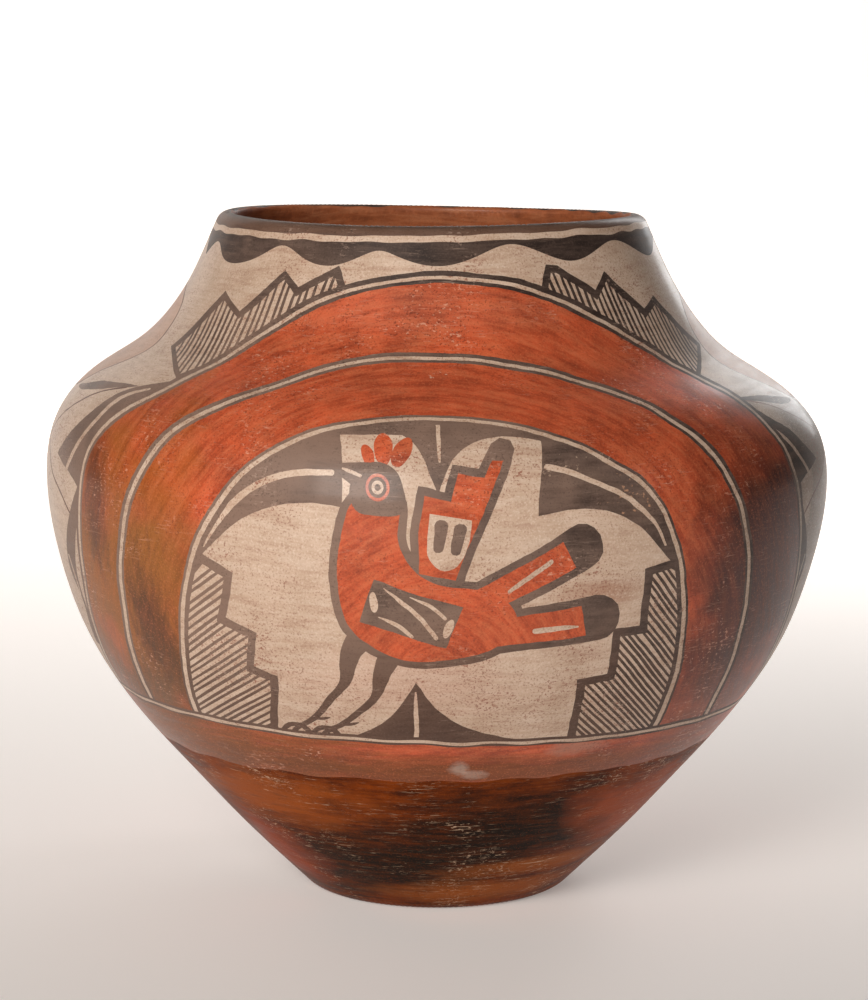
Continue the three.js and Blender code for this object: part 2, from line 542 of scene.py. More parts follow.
def by_hand(outline, seed):
    """Shake an outline with slow and fine waves, which depend on where on the wall each point lies."""
    chance = np.random.default_rng(seed)
    moved = outline.copy()
    for size, pitch in (WANDER, FINE_WANDER):
        for _ in range(5):
            lean, phase_x, phase_y = chance.uniform(0.0, 2.0 * np.pi, 3)
            across = outline @ [np.cos(lean), np.sin(lean)] * 2.0 * np.pi / chance.uniform(*pitch)
            moved[:, 0] += size / 2 * np.sin(across + phase_x)
            moved[:, 1] += size / 2 * np.sin(across + phase_y)
    return moved


def paint(kind, outline, middle=0.0, shake=1.0):
    """Brush one closed outline, drawn round a panel whose middle is at an angle in degrees. The shake
    is the share of the hand's wander that it gets."""
    flat = outline + shake * (by_hand(outline, HAND_SEED + int(middle)) - outline)
    turn = np.radians(middle) + flat[:, 0] / radius_at(flat[:, 1])
    painted.append((kind, np.stack([turn, flat[:, 1]], axis=1)))


def pull(kind, middle, points, width, start=1.0, end=1.0):
    """One pull of the brush through a few points."""
    line = curve(points) if len(points) > 2 else straight(points)
    paint(kind, stroke(line, width, start, end), middle)


def hatch(kind, field, slant, gap, width, middle):
    """Parallel strokes across a closed outline, each from the side where it enters to where it leaves."""
    chance = np.random.default_rng(int(abs(field[0, 0])) + int(middle) + HAND_SEED)
    angle = np.radians(slant)
    along = np.array([np.cos(angle), np.sin(angle)])
    across = np.array([-np.sin(angle), np.cos(angle)])
    far, level = field @ along, field @ across
    far_next, level_next = np.roll(far, -1), np.roll(level, -1)
    for row in np.arange(level.min() + gap * HATCH_INSET[0], level.max() - gap * HATCH_INSET[1], gap):
        row += chance.uniform(-HATCH_DRIFT, HATCH_DRIFT) * gap
        cut = (level > row) != (level_next > row)
        share = (row - level[cut]) / (level_next[cut] - level[cut])
        ends = np.sort(far[cut] + share * (far_next[cut] - far[cut]))
        for enter, leave in zip(ends[::2], ends[1::2]):
            if leave - enter < gap:
                continue
            tilt = chance.uniform(-HATCH_TILT, HATCH_TILT)
            a = (enter - HATCH_REACH) * along + (row - tilt) * across
            b = (leave + HATCH_REACH) * along + (row + tilt) * across
            breadth = width * chance.uniform(*HATCH_BREADTHS)
            paint(kind, stroke(straight([a, b]), breadth, HATCH_TIP, HATCH_TIP), middle, HATCH_SHAKE)


print("ready to paint")

# %% [markdown]
# ## Three arches
#
# The field of the painting is a great red arch, split by bands of cream between black lines. Each
# arch is one line from the framing line up, over and down again. The middle line of the cream is
# drawn first, and the black on each side of it is a wider ribbon underneath.

# %% Arches
FRAME_LINE_HEIGHT = 168.5
FRAME_LINE_TILT = 6.0
ARCH_FOOT = 160.0
OUTER_ARCH = [
    (-231, ARCH_FOOT), (-244, 195), (-247, 235), (-244, 272), (-234, 322), (-186, 358.5), (-116, 409.5),
    (-46, 452.5), (4, 461.5), (49, 455.5), (100, 434), (171, 390), (229, 336), (251, 290), (258, 245),
    (252, 205), (238, ARCH_FOOT)]
MIDDLE_ARCH = [
    (-186, ARCH_FOOT), (-197, 205), (-199, 245), (-190, 298), (-163, 335.5), (-98, 377), (-46, 405),
    (2, 411.5), (47, 405.5), (93, 387.5), (142, 354), (179, 311), (193, 270), (194, 235), (186, 195),
    (174, ARCH_FOOT)]
INNER_ARCH = [
    (-144, ARCH_FOOT), (-151, 203), (-148.5, 240), (-139, 280), (-119, 311), (-84, 339.5), (-45, 356),
    (2, 362.5), (45, 356), (86, 338.5), (118, 315), (137, 280), (143, 240), (140, 200), (128, ARCH_FOOT)]


def closed_below(line):
    """An arch with its two feet joined, as a closed outline."""
    return np.vstack([line, straight([line[-1], line[0]])[1:-1]])


def banded(line, middle, outer_black, cream, inner_black):
    """A cream line between two black ones, widening down the legs; its left is the outside."""
    half = cream / 2 * np.interp(line[:, 1], [190.0, 390.0], [1.5, 1.0])
    paint("black", ribbon(line, half + outer_black, half + inner_black), middle)
    paint("cream", ribbon(line, half, half), middle)


def arches(middle):
    """The red field, and the two bands that cross it."""
    outer, second, inner = curve(OUTER_ARCH), curve(MIDDLE_ARCH), curve(INNER_ARCH)
    paint("red", closed_below(outer), middle)
    banded(outer, middle, 3.0, 2.1, 2.2)
    banded(second, middle, 2.6, 2.2, 2.0)
    paint("black", closed_below(inner), middle)
    return inner


print("arch lines of", [len(a) for a in (OUTER_ARCH, MIDDLE_ARCH, INNER_ARCH)], "points")

# %% [markdown]
# ## The field inside the arch
#
# Inside the inner arch the potter left one cream field and filled the corners: a split black leaf on
# each side above, a black point that hangs from the top and one that stands on the frame, and a
# stepped and hatched terrace in each lower corner. It is simplest to black out the whole arch and lay
# the cream field back as one outline that steps, curves and dips round those corners.

# %% Panel field
LEFT_LEAF_EDGE = [(-133, 280), (-124, 288.5), (-112, 299), (-96, 306.5), (-76, 311), (-62, 311.5), (-50, 310)]
RIGHT_LEAF_EDGE = [(54, 306), (64, 308), (80, 308.5), (96, 305.5), (112, 296.5), (123, 286), (131, 277)]
TOP_EDGE_LEFT = [(-50, 349.5), (-34, 350.5), (-18, 350)]
TOP_EDGE_RIGHT = [(34, 350.5), (46, 350), (56, 348)]
HANGING_POINT = [(-18, 350), (-11.5, 344.5), (-6.5, 336), (-3, 327), (1, 318)]
HANGING_POINT_BACK = [(1, 318), (5, 328), (10, 338), (17.5, 345.5), (25, 349), (34, 350.5)]
STANDING_POINT = [(42, 170), (22, 177), (7.5, 186), (-1.5, 196), (-7, 205), (-11, 212)]
STANDING_POINT_BACK = [(-11, 212), (-16.5, 201), (-24, 189.5), (-34, 179.5), (-45, 172.5)]
LEFT_STEPS = [(-89, 168), (-88, 212), (-102, 216.5), (-100, 237.5), (-119, 245), (-113, 271.5), (-133, 280)]
RIGHT_STEPS = [(131, 277), (115, 274), (114, 241), (97, 240), (94, 212), (77, 211), (72, 162)]
PANEL_LINES = [
    ([(-56, 328), (-73, 327.5), (-90, 322.5), (-103, 316), (-115, 307), (-124.5, 296), (-132, 285)],
     3.4, 1.0, 0.5),
    ([(58, 332), (68, 329.5), (82, 324.5), (95, 318.5), (107, 311), (116, 303), (123, 295), (128, 286)],
     2.7, 1.3, 0.5),
    ([(1, 359), (2, 335)], 2.2, 1.1, 0.5), ([(-11, 168), (-11, 205)], 2.6, 1.2, 0.4)]
TERRACE_LINE = 5.0
TERRACE_TOP = 275.0
TERRACE_WALL_TOP = 272.0
TERRACE_FOOT = 155.0
TERRACE_GAP = 4.6
HATCH_WIDTH = 1.9


def cream_field(middle):
    """The cream part of the panel, walked clockwise from the left-hand terrace's top."""
    sides = [curve(LEFT_LEAF_EDGE), straight([LEFT_LEAF_EDGE[-1], TOP_EDGE_LEFT[0]]),
             curve(TOP_EDGE_LEFT), curve(HANGING_POINT), curve(HANGING_POINT_BACK), curve(TOP_EDGE_RIGHT),
             straight([TOP_EDGE_RIGHT[-1], RIGHT_LEAF_EDGE[0]]), curve(RIGHT_LEAF_EDGE),
             straight(RIGHT_STEPS + STANDING_POINT[:1]), curve(STANDING_POINT), curve(STANDING_POINT_BACK),
             straight(STANDING_POINT_BACK[-1:] + LEFT_STEPS)]
    paint("cream", np.vstack([side[:-1] for side in sides]), middle)


def panel_lines(middle):
    """The cream splits in the leaves and in the two points."""
    for line in PANEL_LINES:
        pull("cream", middle, *line)


def corner_terraces(middle, inner):
    """The hatched corners: cream inside the steps, out to the arch, with strokes across it."""
    for steps, slant, gap in ((LEFT_STEPS, 36.0, 3.9), (RIGHT_STEPS, -51.0, 3.4)):
        sign = np.sign(steps[0][0])
        shelf = beside(straight(steps), TERRACE_LINE)
        if sign > 0:
            shelf = shelf[::-1]
        wall = inner[(np.sign(inner[:, 0]) == sign) & (inner[:, 1] < TERRACE_WALL_TOP)]
        wall = beside(wall, -TERRACE_GAP)
        if wall[0, 1] < wall[-1, 1]:
            wall = wall[::-1]
        shelf = shelf[(shelf[:, 1] > TERRACE_FOOT) & (shelf[:, 1] < TERRACE_TOP)]
        field = np.vstack([shelf, wall])
        paint("cream", field, middle)
        hatch("black", field, slant, gap, HATCH_WIDTH, middle)


print("panel field of", len(LEFT_STEPS) + len(RIGHT_STEPS), "stair corners")

# %% [markdown]
# ## Terraces on the shoulder
#
# Two stepped figures lean on the outer arch, one on each side of its top, with steep hatching inside
# a heavy outline. Each is a black outline with a smaller cream one inside it, hatched across.

# %% Shoulder terraces
LEFT_TERRACE = [
    (-159, 378), (-180, 405), (-135, 447), (-120, 435), (-87, 463), (-78, 452), (-52, 468), (-46, 450),
    (-76, 433), (-116, 405)]
RIGHT_TERRACE = [
    (60, 448), (65, 468), (73, 468), (98, 452), (106, 463), (138, 439), (151, 447), (194, 412), (171, 388),
    (100, 430)]
TERRACE_OUTLINE = 4.4


def shoulder_terraces(middle):
    """Heavy stepped outlines with hatching, painted before the arch that covers their feet."""
    for steps, slant, gap in ((LEFT_TERRACE, 71.0, 4.1), (RIGHT_TERRACE, -68.0, 3.7)):
        outline = polygon(steps)
        field = shrunk(outline, TERRACE_OUTLINE)
        paint("black", outline, middle)
        paint("cream", field, middle)
        hatch("black", field, slant, gap, HATCH_WIDTH, middle)


print("terrace outline", TERRACE_OUTLINE, "mm wide")

# %% [markdown]
# ## The bird
#
# A bird stands in each field, a plain figure of a kind that many such jars carry: a full red breast,
# a dark head turned to the left, one stepped wing held up, one folded on the side, and a forked tail.
# It is put together from parts, each a closed outline, so the black edge is laid first under all of
# them and the red goes on top a brush's width smaller.

# %% Bird
BIRD_EDGE = 4.3
BODY = [
    (-41, 316), (-49.5, 300), (-53, 280), (-52, 262), (-45, 243), (-31, 230.5), (-10, 225.5), (14, 227.5),
    (34, 235), (42, 248), (34, 262), (14, 268), (-4, 272), (-15, 281), (-20.5, 296), (-21, 314)]
HEAD = [(-43, 309), (-46, 321), (-41, 331), (-31, 334.5), (-21.5, 330), (-17.5, 320), (-18, 308), (-30, 306)]
BEAK = [(-35, 334.3), (-52, 333.6), (-52, 327), (-46, 322.5), (-41, 317)]
BEAK_SPLIT = [(-50, 330.5), (-40.5, 327)]
CREST = [((-36, 338), 6.5, 16.0), ((-27.8, 342), 9.5, 2.0), ((-18, 340), 9.0, -24.0)]
EYE = (-31, 321)
EYE_RINGS = [(7.2, "red"), (5.5, "black"), (3.6, "cream"), (1.8, "black")]
RAISED_WING = [
    (-13, 272), (-14.5, 298), (-10, 322), (4.5, 319.5), (9, 334), (22.5, 331.5), (28.5, 346), (33, 349.5),
    (39, 348), (41, 343), (37.5, 330), (27, 304), (12.5, 268)]
WING_WINDOW = [(18, 304.5), (17, 292), (12.5, 282), (5, 277.5), (-2.5, 281), (-5.5, 292), (-4, 308)]
WINDOW_BARS = [[(1.8, 301.5), (0.8, 289)], [(12, 299.5), (10.2, 288)]]
FOLDED_WING = [(-34, 272), (13.5, 257), (5, 233), (-41, 248)]
WING_RAYS = [
    ([(-28, 267), (-14, 256), (0, 239)], 2.4), ([(-14, 263), (-6, 259), (4, 250)], 2.0),
    ([(-31, 251), (-23, 247.5), (-13, 240)], 2.2)]
WING_EYES = [((-33.5, 259), 8.0), ((6.2, 244.5), -18.0)]
WING_RED_TOP = 336.0
FEATHERS = [((18, 258), (52, 274), (77, 288), 15.5), ((20, 240), (55, 244), (87, 247.5), 17.0)]
FEATHER_SHARES = (0.44, 0.54)
FEATHER_BLACK = 0.45
FEATHER_LINES = [
    ([(38, 265), (50, 273), (61, 281)], 2.6, 0.7, 1.0), ([(52, 242), (64, 243.5), (76, 244)], 3.0, 1.1, 0.4)]
LEGS = [
    [(-40, 240), (-47.5, 226), (-49, 211), (-57, 200), (-68, 184), (-76, 177)],
    [(-22, 234), (-30, 215), (-33, 202), (-43, 190), (-52, 181), (-59, 176)]]
LEG_HALVES = [(0.0, 7.5), (0.3, 4.4), (0.5, 2.3), (1.0, 1.7)]
TOES = [((-5, 1), (-10.5, -4.5)), ((-2, -2), (-5, -7)), ((3, -1), (6.5, -5.5))]


def feather(root, middle_point, tip, width):
    """A tail feather: a broad stroke whose far end is rounded off."""
    line = curve([root, middle_point, tip])
    half = np.interp(np.linspace(0.0, 1.0, len(line)), [0.0, 1.0], [width * part for part in FEATHER_SHARES])
    side = beside(line, half), beside(line, -half)
    away = side[0][-1] - side[1][-1]
    turn = np.linspace(0.0, np.pi, 9)[1:-1, None]
    forward = np.array([away[1], -away[0]])
    cap = (side[0][-1] + side[1][-1]) / 2 + np.cos(turn) * away / 2 + np.sin(turn) * forward / 2
    return np.vstack([side[0], cap, side[1][::-1]])


def bird_body(middle):
    """Breast, tail and raised wing: black first, then the red inside it. The tips of the tail feathers and
    of the wing stay black."""
    body = curve(BODY, closed=True)
    tails = [feather(*part) for part in FEATHERS]
    wing = polygon(RAISED_WING)
    paint("black", shrunk(body, -BIRD_EDGE), middle)
    for tail in tails:
        paint("black", shrunk(tail, -BIRD_EDGE), middle)
    paint("black", wing, middle)
    paint("red", body, middle)
    for tail, (root, _, tip, width) in zip(tails, FEATHERS):
        reach = np.array(tip) - np.array(root)
        length = np.linalg.norm(reach)
        far = (tail - np.array(root)) @ reach / length
        stop = length - width * FEATHER_BLACK
        paint("red", tail + np.minimum(0.0, stop - far)[:, None] * reach / length, middle)
    inside_wing = shrunk(wing, BIRD_EDGE)
    inside_wing[:, 1] = np.minimum(inside_wing[:, 1], WING_RED_TOP)
    paint("red", inside_wing, middle)


def bird_head(middle):
    """Crest, beak, dark head and an eye of rings."""
    for place, size, lean in CREST:
        paint("red", disc(place, size, 0.52, lean), middle)
    paint("black", curve(HEAD, closed=True), middle)
    paint("black", polygon(BEAK), middle)
    pull("cream", middle, BEAK_SPLIT, 2.0, 0.6)
    for radius, kind in EYE_RINGS:
        paint(kind, disc(EYE, radius, 0.88), middle, 0.0)


def bird_wings(middle):
    """The window in the raised wing, the dark folded wing with cream rays, and the lines on the tail."""
    paint("cream", curve(WING_WINDOW), middle)
    for bar in WINDOW_BARS:
        pull("black", middle, bar, 6.6, 1.1, 0.8)
    paint("black", polygon(FOLDED_WING), middle)
    for ray, width in WING_RAYS:
        pull("cream", middle, ray, width, 0.25, 0.9)
    for place, lean in WING_EYES:
        paint("cream", disc(place, 5.6, 0.42, lean), middle)
    for line in FEATHER_LINES:
        pull("cream", middle, *line)


def bird_legs(middle):
    """Tapering thighs and shanks with a spur and three toes."""
    for leg in LEGS:
        line = curve(leg)
        share = np.linspace(0.0, 1.0, len(line))
        half = np.interp(share, *zip(*LEG_HALVES))
        paint("black", ribbon(line, half, half), middle)
        foot = np.array(leg[-1], float)
        for bow, toe in TOES:
            pull("black", middle, [foot + (1, 1), foot + bow, foot + toe], 3.4, 1.0, 0.6)
        spur = np.array(leg[-2], float)
        pull("black", middle, [spur, spur + (4.5, 0.3), spur + (9, 1.6)], 2.2, 1.0, 0.4)


print("bird with", len(FEATHERS), "tail feathers and", len(LEGS), "legs")

# %% [markdown]
# ## The sides
#
# Between the two arches the wall stays cream. A pair of long dark leaves hangs along each arch, split
# by a cream line, and a light flower of thin brown lines fills the shoulder between them. Only the
# edge of this shows from the front, so the rest is kept plain and in the same manner.

# %% Side leaves and flower
LONG_LEAF_EDGE = [(159, 378.5), (182, 372), (210, 361), (233, 348), (252, 337), (270, 326), (283, 318)]
LONG_LEAF_BACK = [(283, 318), (259, 311), (243, 304), (236, 318), (186, 358.5), (159, 378.5)]
LONG_LEAF_SPLIT = [(181, 368.5), (208, 357), (227, 343), (245, 329), (263, 313)]
LOW_LEAF = [
    (243, 306), (252, 296), (260, 284), (269, 268), (271, 254), (262, 241), (256, 228), (254, 205),
    (250, 205), (256, 240), (250, 275)]
LOW_LEAF_SPLIT = [(268, 262), (262, 248), (259, 238)]
HALF_PETAL = [(39, 362), (47, 370), (62, 386), (66, 400), (60, 413), (51, 426), (30, 440)]
SHOULDER_PETAL = [*HALF_PETAL, (0, 446), *[(-x, y) for x, y in HALF_PETAL[::-1]], (0, 353)]
SMALL_LEAF = [(38, 356), (62, 362.5), (88, 367), (121, 368.5), (98, 363), (70, 357)]
SIDE_LINES = [
    [(34, 322), (50, 335), (69, 346), (87, 356.5), (112, 366)],
    [(41, 321), (66, 307), (85, 299), (106, 286)]]
STANDING_LEAF = [(0, 345), (15, 316), (21, 276), (13, 230), (0, 196), (-13, 230), (-21, 276), (-15, 316)]


def flipped(points, hand):
    """Points as drawn for hand 1, and mirrored to the left for hand -1."""
    return np.array(points) * [hand, 1.0]


def side_leaves(middle, hand):
    """Two leaves beside one arch; hand is -1 for the arch's left side and 1 for its right."""
    edge, back = curve(flipped(LONG_LEAF_EDGE, hand)), straight(flipped(LONG_LEAF_BACK, hand))
    paint("black", np.vstack([edge, back[1:-1]]), middle)
    pull("cream", middle, flipped(LONG_LEAF_SPLIT, hand), 2.6, 0.5, 1.2)
    paint("black", curve(flipped(LOW_LEAF, hand), closed=True), middle)
    pull("cream", middle, flipped(LOW_LEAF_SPLIT, hand), 2.0, 1.0, 0.6)


def side_flower(middle):
    """A petal washed with thinned red, small pointed leaves and thin lines under it, and a standing leaf."""
    petal = curve(SHOULDER_PETAL, closed=True)
    paint("brown", shrunk(petal, -0.7), middle)
    paint("wash", shrunk(petal, 0.7), middle)
    for hand in (-1, 1):
        paint("black", curve(flipped(SMALL_LEAF, hand), closed=True), middle)
        for line in SIDE_LINES:
            pull("brown", middle, flipped(line, hand), 1.4)
    paint("black", curve(STANDING_LEAF, closed=True), middle)
    pull("cream", middle, [(0, 318), (0, 222)], 2.6, 0.5, 0.5)


print("side motifs between the arches")

# %% [markdown]
# ## Bands that go right round
#
# The foot of the jar is bare polished clay under a red band, and a cream line between black ones
# frames the painting from below. At the mouth the lip is black, with a cream line and a band whose
# lower edge swings in scallops. A band is a closed outline from one edge of the unrolled wall to the
# other, with a corner at every angle in ALL_ROUND, in degrees.

# %% Bands
ALL_ROUND = np.arange(-180.0, 180.4, 0.8)
BARE_BELOW = 60.0
BARE_ABOVE = WALL_LENGTH + 40.0
OVERLAP = 5.0
RED_BAND_FOOT = 100.0
BASE_TOP = 135.5
RIM_LINE_HEIGHT = 484.8
RIM_LINE_TILT = 1.6
INSIDE_FROM = 2.0
LIP_BLACK_TO = 10.5
FRAME_BLACK = (2.7, 3.2)
FRAME_CREAM = (1.2, 1.0)
RIM_CREAM = 1.9
SCALLOP_SHARE = 4.0
SCALLOPS = [
    (-76, 466), (-69.5, 475.5), (-63, 468), (-54, 464.5), (-45.5, 471.5), (-40, 478), (-33, 472),
    (-24, 467.5), (-17, 474), (-13, 477.5), (-8, 474), (2, 468.5), (12, 475.5), (19.5, 481), (26, 477),
    (34.5, 470), (43, 474), (52.5, 480), (60, 475), (68, 469), (84, 478), (99, 468), (116, 479),
    (131, 468.5), (147, 478), (163, 469), (180, 478), (197, 467.5), (213, 477), (229, 468), (247, 478),
    (263, 468), (275, 477), (284, 466)]


def band(kind, low, high):
    """Paint between two heights, each one number or a height for every angle in ALL_ROUND."""
    edges = [np.stack(np.broadcast_arrays(np.radians(ALL_ROUND), edge), axis=1) for edge in (low, high)]
    painted.append((kind, np.vstack([edges[0], edges[1][::-1]])))


def rough(seed, size, angle=ALL_ROUND):
    """A brushed edge: slow waves round the jar."""
    return size * waves(np.radians(angle), 0.0, seed, 8, (3, 40), (50.0, 60.0))


def scallop_edge(angle):
    """The lower edge of the rim band: a smooth line through the low and high points, all round. One
    degree round is about as far as SCALLOP_SHARE millimetres up."""
    dense = smooth_curve(np.array(SCALLOPS) * [SCALLOP_SHARE, 1.0], 2000) / [SCALLOP_SHARE, 1.0]
    return np.interp(np.where(angle < SCALLOPS[0][0], angle + 360.0, angle), dense[:, 0], dense[:, 1])


def frame_line(angle):
    """Middle of the lower framing line, a little higher on the left of the jar."""
    return FRAME_LINE_HEIGHT - FRAME_LINE_TILT * np.sin(np.radians(angle)) + rough(5, 0.35, angle)


def lower_bands():
    """Bare clay, red band and framing line, from the foot up."""
    line = frame_line(ALL_ROUND)
    band("red", RED_BAND_FOOT, line)
    band("base", BARE_BELOW - OVERLAP, BASE_TOP + rough(8, 0.55))
    band("black", line - FRAME_BLACK[0], line + FRAME_BLACK[1])
    band("cream", line - FRAME_CREAM[0] + rough(9, 0.3), line + FRAME_CREAM[1])


def rim_bands():
    """Scalloped band, cream line and black lip."""
    line = RIM_LINE_HEIGHT + RIM_LINE_TILT * np.sin(np.radians(ALL_ROUND)) + rough(12, 0.3)
    band("inside", WALL_LENGTH + INSIDE_FROM, BARE_ABOVE + OVERLAP)
    band("black", scallop_edge(ALL_ROUND), WALL_LENGTH + LIP_BLACK_TO + rough(14, 0.7))
    band("cream", line - RIM_CREAM + rough(16, 0.25), line + RIM_CREAM)


print("scallop edge through", len(SCALLOPS), "points")

# %% [markdown]
# ## Paint the jar
#
# The order is the potter's: what goes underneath first. The same panel is painted front and back, and
# because the shake of the hand is drawn from each panel's own seed the two are not quite alike.

# %% Brush everything on
PANELS = (0.0, 180.0)
SIDES = (-90.0, 90.0)


def paint_panel(middle):
    """One arch with everything round and inside it."""
    side_leaves(middle, -1)
    side_leaves(middle, 1)
    shoulder_terraces(middle)
    inner = arches(middle)
    cream_field(middle)
    panel_lines(middle)
    corner_terraces(middle, inner)
    bird_legs(middle)
    bird_body(middle)
    bird_head(middle)
    bird_wings(middle)
    banded(inner, middle, 1.7, 2.1, 3.0)


for side in SIDES:
    side_flower(side)
for panel in PANELS:
    paint_panel(panel)
lower_bands()
rim_bands()
print(len(painted), "brushed outlines,", sum(len(outline) for _, outline in painted), "points")

# %% [markdown]
# ## From outlines to a mesh
#
# The unrolled skin is cut into triangles by a constrained Delaunay triangulation: every painted edge
# becomes an edge of the mesh, and rows of extra points between them keep the clay round. The cut is
# made on the flat sheet, then each corner is moved to its place on the jar. Paint edges stay as sharp
# as the brush left them at any distance, with no picture wrapped round the jar.

# %% Rows of points for the clay itself
SHEET_SCALE = BELLY_RADIUS
CLOSE_TO_AXIS = 72.0
ROW_SHAPE = 1.1
ROW_GAPS = (3.2, 9.0)
ROW_COUNTS = (8, 400)
FULL_ROUND = 6.0
CDT_MERGE = 1e-5
WINDING_BLOCK = 4000000
ROW_ZONES = [
    (up_skin[0], -8.0, 7.0), (-8.0, 10.0, 1.4), (10.0, 478.0, 4.2), (478.0, WALL_LENGTH + 14.0, 1.3),
    (WALL_LENGTH + 14.0, WALL_LENGTH + 140.0, 5.0), (WALL_LENGTH + 140.0, up_skin[-1], 9.0)]


def clay_rows():
    """Points in rows round the jar, closer where the skin bends: angle in radians and distance up."""
    rows = []
    for low, high, gap in ROW_ZONES:
        rows.append(np.linspace(low, high, int(np.ceil((high - low) / gap)) + 1)[:-1])
    levels = np.append(np.concatenate(rows), up_skin[-1])
    gaps = np.gradient(levels)
    apart = np.clip(ROW_SHAPE * gaps, *ROW_GAPS)
    counts = np.clip(2 * np.pi * radius_at(levels) / apart, *ROW_COUNTS).astype(int)
    sheet = [np.stack([np.linspace(-np.pi, np.pi, n + 1), np.full(n + 1, level)], axis=1)
             for n, level in zip(counts, levels)]
    return sheet, levels


rows, levels = clay_rows()
print(len(rows), "rows,", sum(len(row) for row in rows), "points")

# %% [markdown]
# An outline that runs past the edge of the sheet is laid a second time one turn away, so that the two
# edges match when the sheet is closed into a jar. What paint a triangle shows is asked afterwards: the
# last outline that winds round its middle.

# %% Cut the sheet
def laid_outlines():
    """Every outline, and a copy one turn away of each that runs over the edge of the sheet. A band that
    goes fully round has its ends on both edges already."""
    for kind, outline in painted:
        yield kind, outline
        for turn_back in (-2 * np.pi, 2 * np.pi):
            shifted = outline + [turn_back, 0.0]
            over = shifted[:, 0].max() > -np.pi and shifted[:, 0].min() < np.pi
            if over and np.ptp(outline[:, 0]) < FULL_ROUND:
                yield kind, shifted


def cut_sheet(laid):
    """Corners and triangles of the unrolled skin. Every outline and both sides of the sheet stay edges,
    and so do the rows close to the axis, where the flat sheet shows them far wider than they are."""
    points = np.vstack(rows + [outline for _, outline in laid]) * [SHEET_SCALE, 1.0]
    row_start = np.cumsum([0] + [len(row) for row in rows])
    edges = [np.stack([ends[:-1], ends[1:]], axis=1) for ends in (row_start[:-1], row_start[1:] - 1)]
    for number in np.flatnonzero(radius_at(levels) < CLOSE_TO_AXIS):
        along = np.arange(row_start[number], row_start[number + 1])
        edges.append(np.stack([along[:-1], along[1:]], axis=1))
    start = row_start[-1]
    for _, outline in laid:
        loop = start + np.arange(len(outline))
        edges.append(np.stack([loop, np.roll(loop, -1)], axis=1))
        start += len(outline)
    edges = np.vstack(edges).tolist()
    corners, _, triangles, *_ = delaunay_2d_cdt(points.tolist(), edges, [], 0, CDT_MERGE, False)
    corners = np.array([tuple(corner) for corner in corners]) / [SHEET_SCALE, 1.0]
    triangles = np.array(triangles)
    middle = corners[triangles].mean(axis=1)
    return corners, triangles[np.abs(middle[:, 0]) < np.pi]


def winds_round(outline, points):
    """True for each point that a closed outline winds round: its rising less its falling crossings."""
    ax, ay = outline.T
    bx, by = np.roll(outline, -1, axis=0).T
    x, y = points[:, :1], points[:, 1:]
    rises = (ay <= y) & (by > y)
    falls = (ay > y) & (by <= y)
    level = np.where(np.abs(by - ay) < TINY, 1.0, by - ay)
    crossing = ax + (y - ay) / level * (bx - ax)
    return ((rises & (crossing > x)).sum(axis=1) - (falls & (crossing > x)).sum(axis=1)) != 0


def shown_paint(laid, corners, triangles):
    """For each triangle the kind of the last outline round its middle."""
    middle = corners[triangles].mean(axis=1)
    shown = np.full(len(triangles), "cream", dtype="<U8")
    shown[middle[:, 1] < BARE_BELOW] = "base"
    shown[middle[:, 1] > BARE_ABOVE] = "inside"
    for kind, outline in laid:
        low, high = outline.min(axis=0), outline.max(axis=0)
        near = np.flatnonzero(((middle > low) & (middle < high)).all(axis=1))
        for part in np.array_split(near, len(near) * len(outline) // WINDING_BLOCK + 1):
            shown[part[winds_round(outline, middle[part])]] = kind
    return shown


laid = list(laid_outlines())
sheet_corners, sheet_triangles = cut_sheet(laid)
shown = shown_paint(laid, sheet_corners, sheet_triangles)
print(len(sheet_corners), "corners,", len(sheet_triangles), "triangles")
print({str(kind): int(count) for kind, count in zip(*np.unique(shown, return_counts=True))})

# %% [markdown]
# ## Clay, slips and mineral paint
#
# All the finishes are one recipe with other colours: a ground mottled with a second tone, and layers
# over it of streaks that follow the rubbing stone, patches, grit, scratches and chips. The streaks need
# to know which way round is, so the mesh carries a vector for every corner: its turn on a circle, and
# its distance up the wall. A second one has the distance out across the arch, for the red strokes. A
# patch is a stain, a smoke cloud, a worn spot, a painted sheen or a painted shade at a place of its
# own: its distance round and up, how far it reaches round and up, the grain that frays its edge, its
# tone and its strength.

# %% The earthenware recipe
WALL_VECTOR = "wall"
STROKE_VECTOR = "stroke"
NORMAL_VECTOR = "out"
GRAIN = {"round": (26, 26, 260, 5, 1.7, 0.0), "up": (120, 120, 11, 2, 1.7, 0.0),
         "soft": (24, 24, 24, 2, 1.7, 0.0), "cloud": (26, 26, 80, 5, 1.7, 0.0),
         "scuff": (130, 130, 190, 4, 1.7, 0.0), "chip": (300, 300, 420, 4, 10.0, 1.9)}
PATCH_EDGE = (1.25, 0.45)
STREAK_SWAY = (0.03, 0.03, 0.016)
STREAK_SCALE = (38.0, 38.0, 270.0)
SCRATCH_SCALE = (75.0, 75.0, 1000.0)
FLAKE_SCALE = (360.0, 360.0, 560.0)


def noise(tree, vector, scale, detail=4.0, roughness=0.55, distortion=0.0):
    """A noise texture's factor along a vector."""
    return add(tree, "TexNoise", {"Vector": vector, "Scale": scale, "Detail": detail,
                                  "Roughness": roughness, "Distortion": distortion}).outputs["Fac"]


def blend(tree, share, first, second):
    """Two colours mixed by a share; the sockets for colours are the mixing node's last ones."""
    return add(tree, "Mix", {0: share, 6: first, 7: second}, data_type="RGBA").outputs[2]


def plus(tree, a, b):
    """Two values added."""
    return add(tree, "Math", {0: a, 1: b}, operation="ADD").outputs[0]


def stretched(tree, vector, scale):
    """A vector scaled by its own amount along each axis."""
    return add(tree, "VectorMath", {0: vector, 1: scale}, operation="MULTIPLY").outputs[0]


